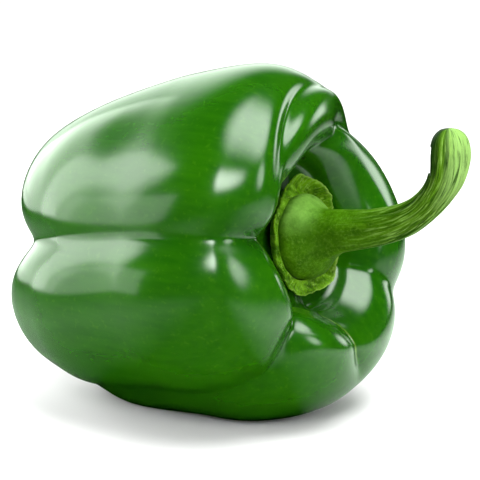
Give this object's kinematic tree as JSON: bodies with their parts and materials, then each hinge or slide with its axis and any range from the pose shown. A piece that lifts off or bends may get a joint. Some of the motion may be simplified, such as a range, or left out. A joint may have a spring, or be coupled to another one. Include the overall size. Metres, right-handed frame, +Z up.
{
  "type": "bell pepper",
  "caption": "Green bell pepper lying on its side, blocky lobed fruit with a ragged calyx and a thick stem that curls up at its end.",
  "frame": {"origin": "on the small flat spot the pepper lies on, near its middle", "axes": "+Z up, +X from the blossom end towards the stem"},
  "size_m": [0.1135, 0.0875, 0.0854],
  "materials": {
    "skin": "waxy gloss",
    "calyx_green": "fibrous satin",
    "stem_green": "fibrous satin"
  },
  "bodies": {
    "root": {"fruit": "skin", "calyx": "calyx_green", "stem": "stem_green"}
  },
  "joints": []
}
